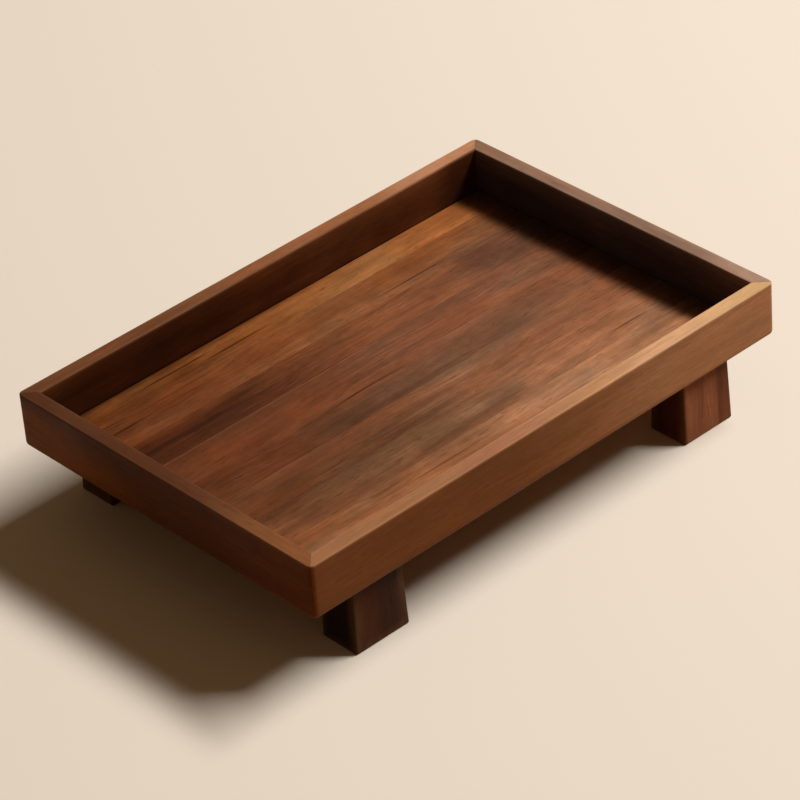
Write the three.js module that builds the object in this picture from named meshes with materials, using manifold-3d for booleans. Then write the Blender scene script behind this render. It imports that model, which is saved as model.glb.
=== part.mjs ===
// A wooden serving tray: four mitred rails round a floor of glued staves, on four tapered block feet.
// Millimetres, +Z up. X runs along the tray and Y across it, from the front rail to the back rail.
// The origin is on the table, under the middle of the tray.
import * as THREE from "three";
import { mergeVertices } from "three/addons/utils/BufferGeometryUtils.js";
import Module from "manifold-3d";

const wasm = await Module();
wasm.setup();

// Tray
const TRAY_LENGTH = 300;
const TRAY_WIDTH = 204;

// Rails
const RAIL_HEIGHT = 30;
const RAIL_THICKNESS = 8;
const RIM_EASE = 0.6; // softened arris along both edges of the rim
const LOWER_EDGE_ROUND = 3; // round along the outer lower edge
const OUTER_CORNER_ROUND = 3; // round of the four upright outer corners
const LEAST_CORNER_ROUND = 0.3; // what is left of that round where the lower edge rolls under
const REBATE_WIDTH = 4; // step cut into the rail's inner lower edge, for the floor's lip
const MITRE_GLUE_LINE = 0.2;

// Floor
const FLOOR_THICKNESS = 6;
const FLOOR_LIP_THICKNESS = 3; // the floor's thinner edge, which laps under the rails
const FLOOR_PLAY = 0.3; // room for the wood to swell, between the floor's edges and the rails
const STAVE_WIDTH = 22; // the two outer staves take what is left

// Loose tongues, stopped above and below, that lock the mitres
const TONGUE_THICKNESS = 2;
const TONGUE_REACH = 3; // into each of the two rails
const TONGUE_STOP_BELOW_RIM = 5;
const TONGUE_STOP_ABOVE_FLOOR = 2;
const TONGUE_FROM_INSIDE = 5; // from the inner corner to the tongue's middle, along the mitre
const JOINERY_PLAY = 0.15; // glue room round each tongue and dowel

// Feet
const FOOT_HEIGHT = 37;
const FOOT_LENGTH = 33; // at the sole, along the tray
const FOOT_WIDTH = 23; // at the sole, across the tray
const FOOT_FLARE = 1.1; // how far each side leans out from top to sole
const FOOT_END_INSET = 26; // from the tray's end to the sole
const FOOT_SIDE_INSET = 5; // from the tray's side to the sole
const FOOT_EDGE_ROUND = 1;
const FOOT_SOLE_EASE = 0.8;

// Dowels, two for each foot
const DOWEL_DIAMETER = 6;
const DOWEL_IN_FOOT = 12;
const DOWEL_IN_FLOOR = 4;
const DOWEL_SPACING = 14;
const DOWEL_CHAMFER = 0.8;

// Facets
const CORNER_STEPS = 5; // along each rounded corner of an outline
const EDGE_STEPS = 4; // along the rounded lower edge
const DOWEL_SIDES = 20;

// Levels and half sizes that follow from the sizes above
const RAIL_BOTTOM = FOOT_HEIGHT;
const RAIL_TOP = RAIL_BOTTOM + RAIL_HEIGHT;
const FLOOR_TOP = RAIL_BOTTOM + FLOOR_THICKNESS;
const FLOOR_LIP_TOP = RAIL_BOTTOM + FLOOR_LIP_THICKNESS;
const HALF_LENGTH = TRAY_LENGTH / 2;
const HALF_WIDTH = TRAY_WIDTH / 2;
const WELL_HALF_LENGTH = HALF_LENGTH - RAIL_THICKNESS;
const WELL_HALF_WIDTH = HALF_WIDTH - RAIL_THICKNESS;
const CUT_MARGIN = RAIL_THICKNESS; // how far a cutting body runs past what it cuts

const FINISHES = {
  rail: { color: 0x6b4128, roughness: 0.46 },
  floor: { color: 0x70442e, roughness: 0.42 },
  foot: { color: 0x4f3021, roughness: 0.5 },
  hidden: { color: 0xb98d5e, roughness: 0.7 },
};

// Solids

function solidOf(geometry) {
  const bare = geometry.clone();
  bare.deleteAttribute("normal");
  bare.deleteAttribute("uv");
  const merged = mergeVertices(bare, 1e-4);
  const mesh = new wasm.Mesh({
    numProp: 3,
    vertProperties: merged.attributes.position.array,
    triVerts: new Uint32Array(merged.index.array),
  });
  return new wasm.Manifold(mesh);
}

function geometryOf(solid) {
  const { vertProperties, triVerts } = solid.getMesh();
  const geometry = new THREE.BufferGeometry();
  geometry.setAttribute("position", new THREE.BufferAttribute(vertProperties, 3));
  geometry.setIndex(new THREE.BufferAttribute(triVerts, 1));
  geometry.computeVertexNormals();
  return geometry;
}

// A closed body through outlines of equal point counts, given from the lowest to the highest.
function loft(sections) {
  const count = sections[0].outline.length;
  const positions = sections.flatMap(({ outline, z }) => outline.flatMap((p) => [p.x, p.y, z]));
  const faces = [];
  for (let level = 0; level + 1 < sections.length; level++) {
    for (let i = 0; i < count; i++) {
      const here = level * count + i;
      const next = level * count + ((i + 1) % count);
      faces.push(here, next, next + count, here, next + count, here + count);
    }
  }
  const lastLevel = (sections.length - 1) * count;
  for (const [a, b, c] of THREE.ShapeUtils.triangulateShape(sections[0].outline, [])) faces.push(a, c, b);
  for (const [a, b, c] of THREE.ShapeUtils.triangulateShape(sections.at(-1).outline, [])) {
    faces.push(lastLevel + a, lastLevel + b, lastLevel + c);
  }
  const geometry = new THREE.BufferGeometry();
  geometry.setAttribute("position", new THREE.Float32BufferAttribute(positions, 3));
  geometry.setIndex(faces);
  return geometry;
}

// A rectangle about the origin with rounded corners, counter-clockwise.
function roundedOutline(halfX, halfY, round) {
  const corners = [[1, 1], [-1, 1], [-1, -1], [1, -1]];
  return corners.flatMap(([sideX, sideY], quarter) =>
    Array.from({ length: CORNER_STEPS + 1 }, (_, step) => {
      const angle = ((quarter + step / CORNER_STEPS) * Math.PI) / 2;
      const centreX = sideX * (halfX - round);
      const centreY = sideY * (halfY - round);
      return new THREE.Vector2(centreX + round * Math.cos(angle), centreY + round * Math.sin(angle));
    }),
  );
}

function rectangle(halfX, halfY) {
  return [[1, 1], [-1, 1], [-1, -1], [1, -1]].map(([x, y]) => new THREE.Vector2(x * halfX, y * halfY));
}

// An upright prism on a plan, between two heights.
function prism(outline, bottom, top) {
  return loft([{ outline, z: bottom }, { outline, z: top }]);
}

function uprightCylinder(diameter, x, y, bottom, top) {
  const geometry = new THREE.CylinderGeometry(diameter / 2, diameter / 2, top - bottom, DOWEL_SIDES);
  return geometry.rotateX(Math.PI / 2).translate(x, y, (bottom + top) / 2);
}

function part(name, finish, geometry) {
  const mesh = new THREE.Mesh(geometry, new THREE.MeshStandardMaterial({ ...FINISHES[finish], metalness: 0 }));
  mesh.name = name;
  return mesh;
}

// The rail frame, as one ring that the mitres then part

function outerSection(inset, z) {
  const round = Math.max(OUTER_CORNER_ROUND - inset, LEAST_CORNER_ROUND);
  return { outline: roundedOutline(HALF_LENGTH - inset, HALF_WIDTH - inset, round), z };
}

function outerBody() {
  const lowerEdge = Array.from({ length: EDGE_STEPS + 1 }, (_, step) => {
    const angle = ((step / EDGE_STEPS) * Math.PI) / 2;
    const inset = LOWER_EDGE_ROUND * (1 - Math.sin(angle));
    return outerSection(inset, RAIL_BOTTOM + LOWER_EDGE_ROUND * (1 - Math.cos(angle)));
  });
  return loft([...lowerEdge, outerSection(0, RAIL_TOP - RIM_EASE), outerSection(RIM_EASE, RAIL_TOP)]);
}

function wellCutter() {
  const section = (spread, z) => ({ outline: rectangle(WELL_HALF_LENGTH + spread, WELL_HALF_WIDTH + spread), z });
  return loft([
    section(0, RAIL_BOTTOM - CUT_MARGIN),
    section(0, RAIL_TOP - RIM_EASE),
    section(RIM_EASE, RAIL_TOP),
    section(RIM_EASE, RAIL_TOP + CUT_MARGIN),
  ]);
}

function rebateCutter() {
  const outline = rectangle(WELL_HALF_LENGTH + REBATE_WIDTH, WELL_HALF_WIDTH + REBATE_WIDTH);
  return prism(outline, RAIL_BOTTOM - CUT_MARGIN, FLOOR_LIP_TOP);
}

// The plan of one rail between its two mitres. The rail lies on the -Y side of a tray of these half sizes.
function mitredPlan(halfRun, halfAcross) {
  const setBack = (MITRE_GLUE_LINE / 2) * Math.SQRT2;
  const outer = halfRun + CUT_MARGIN - setBack;
  const inner = halfRun - RAIL_THICKNESS - CUT_MARGIN - setBack;
  return [
    new THREE.Vector2(-outer, -halfAcross - CUT_MARGIN),
    new THREE.Vector2(outer, -halfAcross - CUT_MARGIN),
    new THREE.Vector2(inner, -halfAcross + RAIL_THICKNESS + CUT_MARGIN),
    new THREE.Vector2(-inner, -halfAcross + RAIL_THICKNESS + CUT_MARGIN),
  ];
}

const RAILS = [
  { name: "rail_front", turn: 0, halfRun: HALF_LENGTH, halfAcross: HALF_WIDTH },
  { name: "rail_right", turn: 1, halfRun: HALF_WIDTH, halfAcross: HALF_LENGTH },
  { name: "rail_back", turn: 2, halfRun: HALF_LENGTH, halfAcross: HALF_WIDTH },
  { name: "rail_left", turn: 3, halfRun: HALF_WIDTH, halfAcross: HALF_LENGTH },
];

const CORNERS = [
  { name: "front_left", sideX: -1, sideY: -1 },
  { name: "front_right", sideX: 1, sideY: -1 },
  { name: "back_right", sideX: 1, sideY: 1 },
  { name: "back_left", sideX: -1, sideY: 1 },
];

// Loose tongues

const TONGUE_BOTTOM = FLOOR_TOP + TONGUE_STOP_ABOVE_FLOOR;
const TONGUE_TOP = RAIL_TOP - TONGUE_STOP_BELOW_RIM;

// A tongue stands in its mitre, across the glue line: play of 0 gives the tongue and more gives its slot.
function tongueGeometry(play) {
  const across = 2 * (TONGUE_REACH + play);
  const thick = TONGUE_THICKNESS + 2 * play;
  return new THREE.BoxGeometry(across, thick, TONGUE_TOP - TONGUE_BOTTOM + 2 * play);
}

function tonguePlace({ sideX, sideY }) {
  const alongMitre = TONGUE_FROM_INSIDE * Math.SQRT1_2;
  return new THREE.Object3D().translateX(sideX * (WELL_HALF_LENGTH + alongMitre))
    .translateY(sideY * (WELL_HALF_WIDTH + alongMitre))
    .translateZ((TONGUE_BOTTOM + TONGUE_TOP) / 2)
    .rotateZ((-sideX * sideY * Math.PI) / 4);
}

function tongueSlot(corner) {
  const place = tonguePlace(corner);
  place.updateMatrix();
  return tongueGeometry(JOINERY_PLAY).applyMatrix4(place.matrix);
}

function makeRails() {
  const ring = [wellCutter(), rebateCutter(), ...CORNERS.map(tongueSlot)]
    .reduce((solid, cutter) => solid.subtract(solidOf(cutter)), solidOf(outerBody()));
  return RAILS.map(({ name, turn, halfRun, halfAcross }) => {
    const plan = prism(mitredPlan(halfRun, halfAcross), RAIL_BOTTOM - CUT_MARGIN, RAIL_TOP + CUT_MARGIN);
    const rail = ring.intersect(solidOf(plan.rotateZ((turn * Math.PI) / 2)));
    return part(name, "rail", geometryOf(rail));
  });
}

function makeTongues() {
  return CORNERS.map((corner) => {
    const tongue = part(`corner_tongue_${corner.name}`, "hidden", tongueGeometry(0));
    const place = tonguePlace(corner);
    tongue.position.copy(place.position);
    tongue.quaternion.copy(place.quaternion);
    return tongue;
  });
}

// Feet and dowels

function footCentre({ sideX, sideY }) {
  const x = sideX * (HALF_LENGTH - FOOT_END_INSET - FOOT_LENGTH / 2);
  const y = sideY * (HALF_WIDTH - FOOT_SIDE_INSET - FOOT_WIDTH / 2);
  return new THREE.Vector2(x, y);
}

// A foot's two dowels, measured from the foot's middle: the outer one is nearer the tray's end.
const DOWELS = [
  { name: "outer", along: DOWEL_SPACING / 2 },
  { name: "inner", along: -DOWEL_SPACING / 2 },
];

function dowelHole(x, y) {
  const diameter = DOWEL_DIAMETER + 2 * JOINERY_PLAY;
  const bottom = FOOT_HEIGHT - DOWEL_IN_FOOT - JOINERY_PLAY;
  return uprightCylinder(diameter, x, y, bottom, FOOT_HEIGHT + DOWEL_IN_FLOOR + JOINERY_PLAY);
}

function footBody() {
  const section = (inset, z) => ({
    outline: roundedOutline(FOOT_LENGTH / 2 - inset, FOOT_WIDTH / 2 - inset, FOOT_EDGE_ROUND),
    z,
  });
  const leanAtEase = FOOT_FLARE * (FOOT_SOLE_EASE / FOOT_HEIGHT);
  return loft([section(FOOT_SOLE_EASE, 0), section(leanAtEase, FOOT_SOLE_EASE), section(FOOT_FLARE, FOOT_HEIGHT)]);
}

function dowelGeometry() {
  const radius = DOWEL_DIAMETER / 2;
  const length = DOWEL_IN_FOOT + DOWEL_IN_FLOOR;
  const profile = [
    new THREE.Vector2(0, 0),
    new THREE.Vector2(radius - DOWEL_CHAMFER, 0),
    new THREE.Vector2(radius, DOWEL_CHAMFER),
    new THREE.Vector2(radius, length - DOWEL_CHAMFER),
    new THREE.Vector2(radius - DOWEL_CHAMFER, length),
    new THREE.Vector2(0, length),
  ];
  return new THREE.LatheGeometry(profile, DOWEL_SIDES).rotateX(Math.PI / 2);
}

function makeFoot(corner) {
  const centre = footCentre(corner);
  const group = new THREE.Group();
  group.position.set(centre.x, centre.y, 0);
  const drilled = DOWELS.reduce(
    (solid, dowel) => solid.subtract(solidOf(dowelHole(corner.sideX * dowel.along, 0))),
    solidOf(footBody()),
  );
  group.add(part(`foot_${corner.name}`, "foot", geometryOf(drilled)));
  for (const dowel of DOWELS) {
    const peg = part(`dowel_${corner.name}_${dowel.name}`, "hidden", dowelGeometry());
    peg.position.set(corner.sideX * dowel.along, 0, FOOT_HEIGHT - DOWEL_IN_FOOT);
    group.add(peg);
  }
  return group;
}

// Floor

// The whole floor: a field that fills the well, and a thinner lip round it that laps under the rails.
function floorBody() {
  const layer = (spread, top) => {
    const outline = rectangle(WELL_HALF_LENGTH + spread - FLOOR_PLAY, WELL_HALF_WIDTH + spread - FLOOR_PLAY);
    return solidOf(prism(outline, RAIL_BOTTOM, top));
  };
  return layer(0, FLOOR_TOP).add(layer(REBATE_WIDTH, FLOOR_LIP_TOP));
}

// The glue lines between staves, from front to back, with one stave in the middle of the tray.
function glueLines() {
  const halfAcross = WELL_HALF_WIDTH + REBATE_WIDTH - FLOOR_PLAY;
  const besideMiddle = Math.max(0, Math.round(halfAcross / STAVE_WIDTH - 0.5));
  return Array.from({ length: 2 * besideMiddle }, (_, index) => (index + 0.5 - besideMiddle) * STAVE_WIDTH);
}

// The space that one stave takes across the tray, from one glue line to the next.
function staveSpace(front, back) {
  const outline = [[-1, front], [1, front], [1, back], [-1, back]];
  const plan = outline.map(([side, y]) => new THREE.Vector2(side * HALF_LENGTH, y));
  return prism(plan, RAIL_BOTTOM - CUT_MARGIN, FLOOR_TOP + CUT_MARGIN);
}

function makeStaves() {
  const holes = CORNERS.flatMap((corner) => {
    const centre = footCentre(corner);
    return DOWELS.map((dowel) => dowelHole(centre.x + corner.sideX * dowel.along, centre.y));
  });
  const floor = holes.reduce((solid, hole) => solid.subtract(solidOf(hole)), floorBody());
  const edges = [-HALF_WIDTH, ...glueLines(), HALF_WIDTH];
  return edges.slice(1).map((back, index) => {
    const stave = floor.intersect(solidOf(staveSpace(edges[index], back)));
    return part(`floor_stave_${index + 1}`, "floor", geometryOf(stave));
  });
}

const tray = new THREE.Group();
tray.add(...makeRails(), ...makeTongues(), ...makeStaves(), ...CORNERS.map(makeFoot));

export default tray;
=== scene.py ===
"""A wooden serving tray: mitred rails round a floor of glued staves, on four tapered block feet.

Metres, +Z up. X runs along the tray, Y from the front rail to the back rail, and Z is 0 on the table.
"""

import math
from collections import namedtuple

import bmesh
import bpy
from bpy.props import FloatProperty, FloatVectorProperty, PointerProperty
from mathutils import Euler, Matrix, Vector, noise


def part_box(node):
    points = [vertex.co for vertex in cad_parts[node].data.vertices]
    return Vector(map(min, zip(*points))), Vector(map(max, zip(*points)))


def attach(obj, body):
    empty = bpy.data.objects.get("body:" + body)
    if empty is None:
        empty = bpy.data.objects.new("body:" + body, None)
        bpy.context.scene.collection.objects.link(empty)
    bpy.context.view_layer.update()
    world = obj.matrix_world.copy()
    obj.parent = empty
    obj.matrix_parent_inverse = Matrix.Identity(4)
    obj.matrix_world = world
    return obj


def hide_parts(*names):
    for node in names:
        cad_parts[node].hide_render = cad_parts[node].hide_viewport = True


bl_info = {
    "name": "Wooden serving tray",
    "version": (1, 0, 0),
    "blender": (4, 5, 0),
    "location": "3D View > Sidebar > Tray",
    "description": "Builds a footed wooden tray with procedural walnut-brown woods, and a plain stage for it",
    "category": "Add Mesh",
}

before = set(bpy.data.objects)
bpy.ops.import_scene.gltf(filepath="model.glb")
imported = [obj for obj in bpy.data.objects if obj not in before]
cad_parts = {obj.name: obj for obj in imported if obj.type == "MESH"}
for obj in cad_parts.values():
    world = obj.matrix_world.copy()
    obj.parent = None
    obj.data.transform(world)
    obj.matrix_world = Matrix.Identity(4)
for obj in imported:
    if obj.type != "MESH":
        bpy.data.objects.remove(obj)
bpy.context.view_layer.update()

MM = 0.001
BODY = "root"
CORNERS = ("front_left", "front_right", "back_right", "back_left")
STAVE_NAMES = sorted(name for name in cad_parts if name.startswith("floor_stave_"))

# The rails in order round the tray. Each is a front rail turned by that many quarter turns.
RAIL_TURNS = {"rail_front": 0, "rail_right": 1, "rail_back": 2, "rail_left": 3}

# The two corners that each rail runs between
RAIL_CORNERS = {
    "rail_front": ("front_left", "front_right"),
    "rail_right": ("front_right", "back_right"),
    "rail_back": ("back_right", "back_left"),
    "rail_left": ("back_left", "front_left"),
}


def srgb(red, green, blue):
    """A linear colour from the 0 to 255 values that a screen shows."""
    def linear(value):
        share = value / 255
        return share / 12.92 if share <= 0.04045 else ((share + 0.055) / 1.055) ** 2.4
    return (linear(red), linear(green), linear(blue))


# Sizes and colours that a user would change

def length(name, description, default):
    return FloatProperty(
        name=name, description=description, default=default, min=0.0, unit="LENGTH", precision=5,
    )


def colour(name, description, default):
    return FloatVectorProperty(
        name=name, description=description, default=default, size=3, min=0.0, max=1.0, subtype="COLOR",
    )


class TraySizes(bpy.types.PropertyGroup):
    """Small sizes of the joinery and the softened edges; the large ones come from the frame."""

    rim_round: length("Rim round", "Softened arris along both edges of the rim", 0.6 * MM)
    lower_round: length("Lower round", "Round along the rails' outer lower edge", 3.0 * MM)
    corner_round: length("Corner round", "Round of the four upright outer corners", 3.0 * MM)
    least_round: length("Least round", "Round that is left where the lower edge rolls under", 0.3 * MM)
    rebate_width: length("Rebate width", "Step in the rails that takes the floor's lip", 4.0 * MM)
    lip_thickness: length("Lip thickness", "Thin edge of the floor under the rails", 3.0 * MM)
    glue_line: length("Glue line", "Width of the line between two mitred rails", 0.08 * MM)
    joint_play: length("Joint play", "Glue room round each tongue and dowel", 0.15 * MM)
    stave_arris: length("Stave arris", "Softened edge along the staves' top", 0.12 * MM)
    foot_flare: length("Foot flare", "How far each side of a foot leans out from top to sole", 1.1 * MM)
    foot_round: length("Foot round", "Round of a foot's upright edges", 0.9 * MM)
    sole_round: length("Sole round", "Round of a foot's lower edge", 0.8 * MM)
    sanding: length("Sanding", "How far hand sanding has dished the arrises", 0.1 * MM)


class TrayWoods(bpy.types.PropertyGroup):
    """The middle tones of the woods."""

    pale: colour("Pale", "Lighter brown of the front staves", srgb(152, 101, 67))
    warm: colour("Warm", "Warm brown of the middle staves", srgb(117, 69, 43))
    golden: colour("Golden", "Golden brown of the back staves", srgb(138, 82, 38))
    rail: colour("Rail", "Light tan at the right end of the front rail", srgb(203, 143, 103))
    rail_deep: colour("Rail, deep", "Brown of the other rails", srgb(150, 96, 62))
    foot: colour("Foot", "Dark brown of the feet", srgb(96, 59, 40))
    peg: colour("Peg", "Pale unfinished hardwood of the tongues and dowels", srgb(201, 166, 122))
    # The worn colour is also a painted highlight on the rim's arrises and painted light on the rim's top
    worn_and_lit: colour("Worn and lit edge", "Where handling has polished an edge pale", srgb(222, 172, 120))


class TrayStage(bpy.types.PropertyGroup):
    """The floor, the light and the backdrop."""

    floor: colour("Floor", "Plain pale floor under the tray", srgb(242, 234, 223))
    floor_bounce: colour("Floor bounce", "The floor as its scattered light sees it", srgb(146, 108, 68))
    backdrop: colour("Backdrop", "What shows past the floor", srgb(208, 201, 192))
    key_power: FloatProperty(
        name="Key", description="Power of the main light", default=230.0, min=0.0, unit="POWER",
    )
    key_colour: colour("Key colour", "Colour of the main light", (1.0, 0.95, 0.88))
    ambient: FloatProperty(
        name="Ambient", description="Strength of the light from all round", default=0.094, min=0.0, max=1.0,
        subtype="FACTOR",
    )
    ambient_colour: colour("Ambient colour", "Colour of the light from all round", (1.0, 0.57, 0.25))


# Node trees

def feed(tree, socket, value):
    """Links an output to the socket, or sets the socket's own value."""
    if isinstance(value, bpy.types.NodeSocket):
        tree.links.new(value, socket)
    else:
        socket.default_value = value


def add(tree, kind, inputs=None, **settings):
    """A new node with its settings made and its inputs fed."""
    node = tree.nodes.new(kind)
    for name, value in settings.items():
        setattr(node, name, value)
    for key, value in (inputs or {}).items():
        feed(tree, node.inputs[key], value)
    return node


def calculate(tree, operation, first, second=0.0, third=0.0):
    return add(tree, "ShaderNodeMath", {0: first, 1: second, 2: third}, operation=operation).outputs[0]


def combine(tree, operation, first, second):
    """The same for two vectors."""
    return add(tree, "ShaderNodeVectorMath", {0: first, 1: second}, operation=operation).outputs[0]


def step(tree, value, low, high, to_low=0.0, to_high=1.0):
    """A smooth step from low to high."""
    limits = {"Value": value, "From Min": low, "From Max": high, "To Min": to_low, "To Max": to_high}
    return add(tree, "ShaderNodeMapRange", limits, interpolation_type="SMOOTHSTEP").outputs["Result"]


def mix(tree, factor, first, second, blend="MIX"):
    node = add(tree, "ShaderNodeMix", data_type="RGBA", blend_type=blend)
    feed(tree, node.inputs[0], factor)
    feed(tree, node.inputs[6], first)
    feed(tree, node.inputs[7], second)
    return node.outputs[2]


def brighten(tree, tone, factor):
    return add(tree, "ShaderNodeVectorMath", {0: tone, "Scale": factor}, operation="SCALE").outputs[0]


def drawn_noise(tree, place, along, across, detail=2.0, roughness=0.5):
    """Noise drawn out along the grain; along and across are the sizes of its features."""
    shares = (1 / along, 1 / across, 1 / across)
    drawn = combine(tree, "MULTIPLY", place, shares)
    inputs = {"Vector": drawn, "Scale": 1.0, "Detail": detail, "Roughness": roughness}
    return add(tree, "ShaderNodeTexNoise", inputs).outputs["Fac"]


SOCKET_KINDS = {"colour": "NodeSocketColor", "value": "NodeSocketFloat", "vector": "NodeSocketVector"}


def new_group(name, inputs, outputs):
    """An empty shader node group with named sockets, and its two end nodes."""
    tree = bpy.data.node_groups.new(name, "ShaderNodeTree")
    for socket, kind, default in inputs:
        made = tree.interface.new_socket(name=socket, in_out="INPUT", socket_type=SOCKET_KINDS[kind])
        if default is not None:
            made.default_value = default
    for socket, kind in outputs:
        tree.interface.new_socket(name=socket, in_out="OUTPUT", socket_type=SOCKET_KINDS[kind])
    start = tree.nodes.new("NodeGroupInput")
    end = tree.nodes.new("NodeGroupOutput")
    return tree, start.outputs, end.inputs


def add_group(tree, name, build, inputs):
    """A node of the group of that name, which is built the first time it is asked for."""
    built = bpy.data.node_groups.get(name) or build(name)
    return add(tree, "ShaderNodeGroup", inputs, node_tree=built)


def empty_material(name):
    """A new material with nothing in its node tree."""
    material = bpy.data.materials.new(name)
    material.use_nodes = True
    material.node_tree.nodes.clear()
    return material


# How far the wood's hue drifts from place to place
REDDISH = (1.05, 0.96, 0.90, 1.0)
GREYISH = (0.95, 1.03, 1.10, 1.0)


def build_wood_figure(name):
    """Growth rings round a pith, with bands, fibres, dark streaks, pores, light flecks and a soft shimmer."""
    white = (1.0, 1.0, 1.0, 1.0)
    tree, given, result = new_group(
        name,
        [
            ("Place", "vector", None), ("Board", "vector", None), ("Pith", "vector", None),
            ("Light", "colour", white), ("Middle", "colour", white), ("Dark", "colour", white),
            ("Wander", "value", 0.006), ("Ring", "value", 0.003), ("Rings", "value", 0.5),
            ("Mottle", "value", 1.0), ("Streaks", "value", 0.5), ("Pores", "value", 0.5),
            ("Flecks", "value", 0.3), ("Gloss", "value", 0.5),
        ],
        [("Color", "colour"), ("Roughness", "value"), ("Height", "value")],
    )
    own = combine(tree, "ADD", given["Place"], given["Board"])

    # The grain wanders: its lines shift sideways by a slow noise.
    slow = drawn_noise(tree, own, 0.15, 0.05)
    shift = calculate(tree, "MULTIPLY", calculate(tree, "SUBTRACT", slow, 0.5), given["Wander"])
    sideways = add(tree, "ShaderNodeCombineXYZ", {"Y": shift, "Z": shift}).outputs[0]
    grain = combine(tree, "ADD", own, sideways)

    # Rings are distances from the pith, unevenly spaced. Each darkens slowly and ends sharply.
    from_pith = combine(tree, "SUBTRACT", combine(tree, "ADD", given["Place"], sideways), given["Pith"])
    across = combine(tree, "MULTIPLY", from_pith, (0.0, 1.0, 1.0))
    radius = add(tree, "ShaderNodeVectorMath", {0: across}, operation="LENGTH").outputs["Value"]
    uneven = calculate(tree, "MULTIPLY", drawn_noise(tree, grain, 0.22, 0.014, detail=3.0), 5.0)
    rings_out = calculate(tree, "ADD", calculate(tree, "DIVIDE", radius, given["Ring"]), uneven)
    ring = calculate(tree, "FRACT", rings_out)
    late = calculate(tree, "MULTIPLY", step(tree, ring, 0.3, 0.93), step(tree, ring, 0.99, 0.94))
    faded = step(tree, drawn_noise(tree, grain, 0.06, 0.008), 0.35, 0.62, 0.2, 1.0)
    late = calculate(tree, "MULTIPLY", late, faded)

    # Broad bands of tone, with lines and fibres in them
    bands = drawn_noise(tree, grain, 0.17, 0.013, detail=3.0)
    lines = drawn_noise(tree, grain, 0.05, 0.0021, detail=4.0, roughness=0.65)
    fibres = drawn_noise(tree, grain, 0.009, 0.0008, roughness=0.6)
    tone = mix(tree, step(tree, bands, 0.28, 0.5), given["Dark"], given["Middle"])
    tone = mix(tree, step(tree, bands, 0.5, 0.72), tone, given["Light"])
    tone = brighten(tree, tone, step(tree, lines, 0.33, 0.67, 0.93, 1.06))
    tone = brighten(tree, tone, step(tree, fibres, 0.25, 0.75, 0.90, 1.09))

    # A mottled version of it: shimmer, cross ripples, a drifting hue, and close lines in some zones
    shimmer = drawn_noise(tree, own, 0.03, 0.015, detail=3.0)
    ripple = drawn_noise(tree, own, 0.004, 0.011)
    hue = step(tree, drawn_noise(tree, own, 0.06, 0.02), 0.35, 0.65)
    close_lines = drawn_noise(tree, grain, 0.022, 0.0014)
    close_zones = step(tree, drawn_noise(tree, own, 0.07, 0.03, detail=1.0), 0.45, 0.6)
    mottled = brighten(tree, tone, step(tree, shimmer, 0.3, 0.7, 0.82, 1.16))
    mottled = brighten(tree, mottled, step(tree, ripple, 0.3, 0.7, 0.96, 1.04))
    mottled = mix(tree, 1.0, mottled, mix(tree, hue, REDDISH, GREYISH), blend="MULTIPLY")
    lined = brighten(tree, mottled, step(tree, close_lines, 0.32, 0.68, 0.88, 1.13))
    mottled = mix(tree, close_zones, mottled, lined)
    tone = mix(tree, given["Mottle"], tone, mottled)
    tone = mix(tree, calculate(tree, "MULTIPLY", late, given["Rings"]), tone, given["Dark"])

    # Dark streaks in some zones, then light flecks and the dashes of open pores
    streak_lines = step(tree, drawn_noise(tree, grain, 0.032, 0.0011), 0.60, 0.67)
    streak_zones = step(tree, drawn_noise(tree, own, 0.09, 0.016, detail=1.0), 0.53, 0.63)
    streaks = calculate(tree, "MULTIPLY", streak_lines, streak_zones)
    streaks = calculate(tree, "MULTIPLY", streaks, given["Streaks"])
    tone = mix(tree, streaks, tone, brighten(tree, given["Dark"], 0.6))
    fleck_lines = step(tree, drawn_noise(tree, grain, 0.018, 0.0007, detail=1.0), 0.62, 0.70)
    tone = mix(tree, calculate(tree, "MULTIPLY", fleck_lines, given["Flecks"]), tone, given["Light"])
    pore_dashes = step(tree, drawn_noise(tree, grain, 0.008, 0.0008, detail=1.0), 0.63, 0.70)
    pores = calculate(tree, "MULTIPLY", pore_dashes, given["Pores"])
    tone = mix(tree, pores, tone, brighten(tree, given["Dark"], 0.7))

    # Roughness: uneven from handling, and duller in the pores
    handled = drawn_noise(tree, own, 0.05, 0.05, detail=3.0)
    gloss = calculate(tree, "ADD", given["Gloss"], step(tree, handled, 0.3, 0.7, -0.06, 0.06))
    gloss = calculate(tree, "MULTIPLY_ADD", pores, 0.25, gloss)
    gloss = calculate(tree, "MULTIPLY_ADD", calculate(tree, "SUBTRACT", fibres, 0.5), 0.12, gloss)

    # Relief: fibres, lines and rings stand up, and pores are sunk
    height = calculate(tree, "MULTIPLY_ADD", fibres, 0.5, calculate(tree, "MULTIPLY", lines, 0.35))
    height = calculate(tree, "MULTIPLY_ADD", pores, -0.9, height)
    height = calculate(tree, "MULTIPLY_ADD", late, 0.25, height)
    feed(tree, result["Color"], tone)
    feed(tree, result["Roughness"], gloss)
    feed(tree, result["Height"], height)
    return tree


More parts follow.
